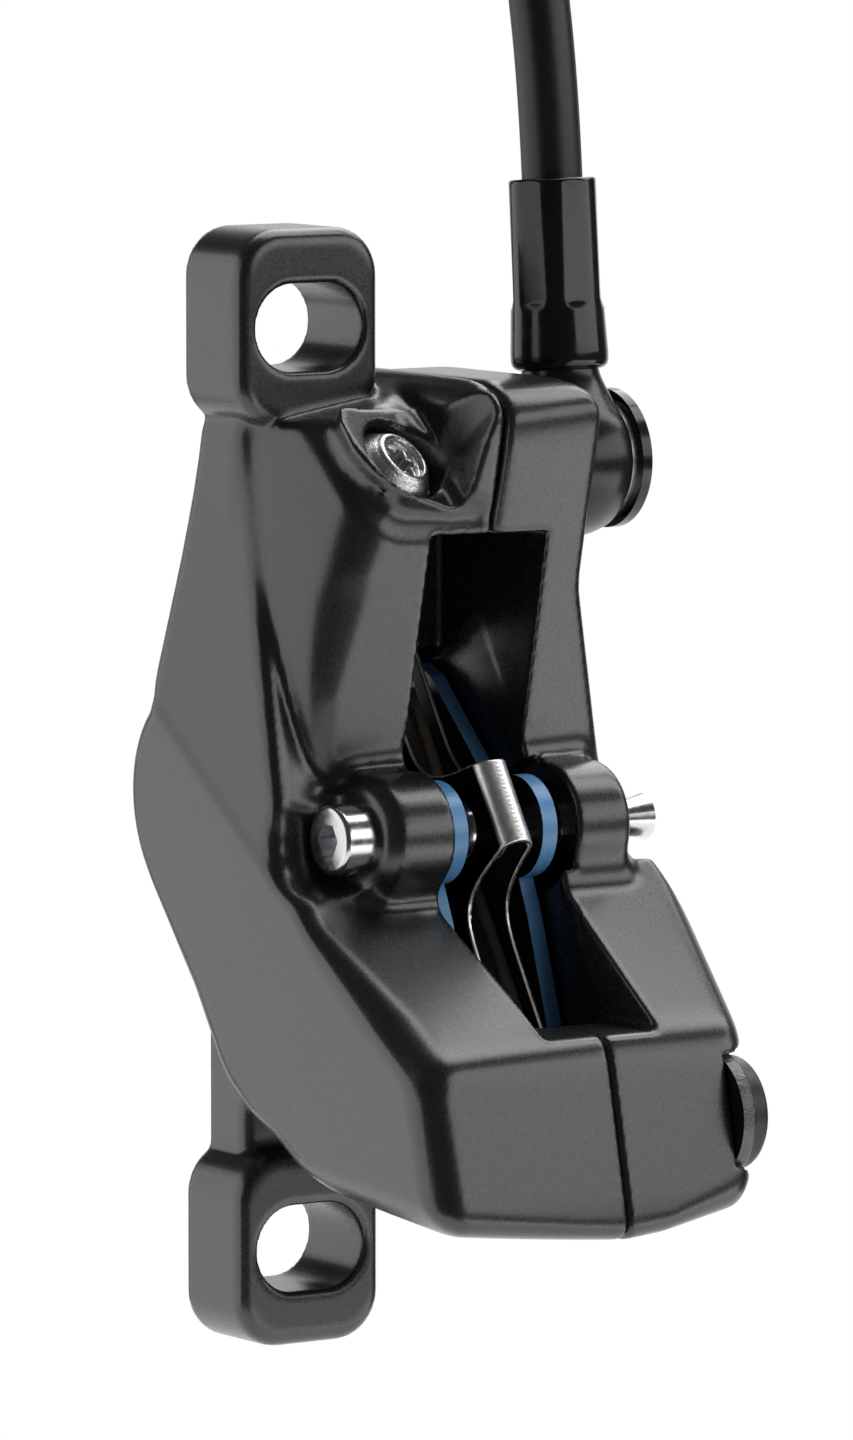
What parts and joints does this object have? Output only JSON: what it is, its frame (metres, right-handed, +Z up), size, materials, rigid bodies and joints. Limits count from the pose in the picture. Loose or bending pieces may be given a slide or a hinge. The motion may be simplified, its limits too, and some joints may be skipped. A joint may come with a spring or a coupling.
{
  "type": "bicycle hydraulic disc brake caliper",
  "caption": "Two-piece hydraulic disc brake caliper for a bicycle, with slotted mounting ears, opposed pistons, pads on a pin with a sheet spring, and a banjo with its hose.",
  "frame": {"origin": "on the mounting face, midway between the centres of the two mounting slots", "axes": "+X along the wheel axle from the outboard to the inboard half, +Y into the fork or frame across the mounting face, +Z up along the line of the two mounting slots"},
  "size_m": [0.1466, 0.0465, 0.1475],
  "materials": {
    "forged_body": "matte anodised",
    "spring_steel": "satin",
    "plated_steel": "polished",
    "black_plastic": "matte",
    "black_banjo": "satin anodised",
    "black_sleeve": "gloss",
    "bare_aluminium": "satin",
    "olive_brass": "satin",
    "hose_jacket": "matte",
    "seal_rubber": "matte",
    "pad_plate_blue": "satin",
    "lining_compound": "rough",
    "piston_phenolic": "satin"
  },
  "bodies": {
    "caliper": {"outboard_body": "forged_body", "inboard_body": "forged_body", "pad_spring": "spring_steel", "pad_pin": "plated_steel", "pin_clip": "plated_steel", "lower_body_bolt": "black_banjo", "lower_bolt_cap": "black_plastic", "upper_body_bolt": "plated_steel", "bleed_screw": "plated_steel", "bleed_screw_seal": "seal_rubber", "crossover_seal": "seal_rubber", "banjo": "black_banjo", "banjo_washers": "bare_aluminium", "banjo_bolt": "black_banjo", "crimp_sleeve": "black_sleeve", "hose": "hose_jacket", "hose_coil": "hose_jacket", "hose_tail": "hose_jacket", "coil_tie": "black_plastic", "fitting_boot": "seal_rubber", "fitting_nut": "black_banjo", "fitting_olive": "olive_brass", "fitting_insert": "olive_brass", "outboard_upper_seal": "seal_rubber", "outboard_lower_seal": "seal_rubber", "inboard_upper_seal": "seal_rubber", "inboard_lower_seal": "seal_rubber"},
    "outboard_pad": {"outboard_pad_plate": "pad_plate_blue", "outboard_pad_lining": "lining_compound"},
    "outboard_upper_piston": {"outboard_upper_piston": "piston_phenolic"},
    "outboard_lower_piston": {"outboard_lower_piston": "piston_phenolic"},
    "inboard_pad": {"inboard_pad_plate": "pad_plate_blue", "inboard_pad_lining": "lining_compound"},
    "inboard_upper_piston": {"inboard_upper_piston": "piston_phenolic"},
    "inboard_lower_piston": {"inboard_lower_piston": "piston_phenolic"}
  },
  "joints": [
    {"name": "outboard_upper_piston_slide", "type": "slide", "parent": "caliper", "child": "outboard_upper_piston", "axis": [1, 0, 0], "range_m": [0, 0.0013], "stiffness_N_per_m": 300, "deforming": ["pad_spring"]},
    {"name": "outboard_lower_piston_slide", "type": "slide", "parent": "caliper", "child": "outboard_lower_piston", "axis": [1, 0, 0], "range_m": [0, 0.0013]},
    {"name": "outboard_pad_slide", "type": "slide", "parent": "caliper", "child": "outboard_pad", "axis": [1, 0, 0], "range_m": [0, 0.0013], "deforming": ["pad_spring"]},
    {"name": "inboard_upper_piston_slide", "type": "slide", "parent": "caliper", "child": "inboard_upper_piston", "axis": [-1, 0, 0], "range_m": [0, 0.0013]},
    {"name": "inboard_lower_piston_slide", "type": "slide", "parent": "caliper", "child": "inboard_lower_piston", "axis": [-1, 0, 0], "range_m": [0, 0.0013]},
    {"name": "inboard_pad_slide", "type": "slide", "parent": "caliper", "child": "inboard_pad", "axis": [-1, 0, 0], "range_m": [0, 0.0013], "deforming": ["pad_spring"]}
  ],
  "couplings": [
    {"joint": "outboard_lower_piston_slide", "follows": "outboard_upper_piston_slide", "ratio": 1},
    {"joint": "outboard_pad_slide", "follows": "outboard_upper_piston_slide", "ratio": 1},
    {"joint": "inboard_upper_piston_slide", "follows": "outboard_upper_piston_slide", "ratio": 1},
    {"joint": "inboard_lower_piston_slide", "follows": "outboard_upper_piston_slide", "ratio": 1},
    {"joint": "inboard_pad_slide", "follows": "outboard_upper_piston_slide", "ratio": 1}
  ]
}
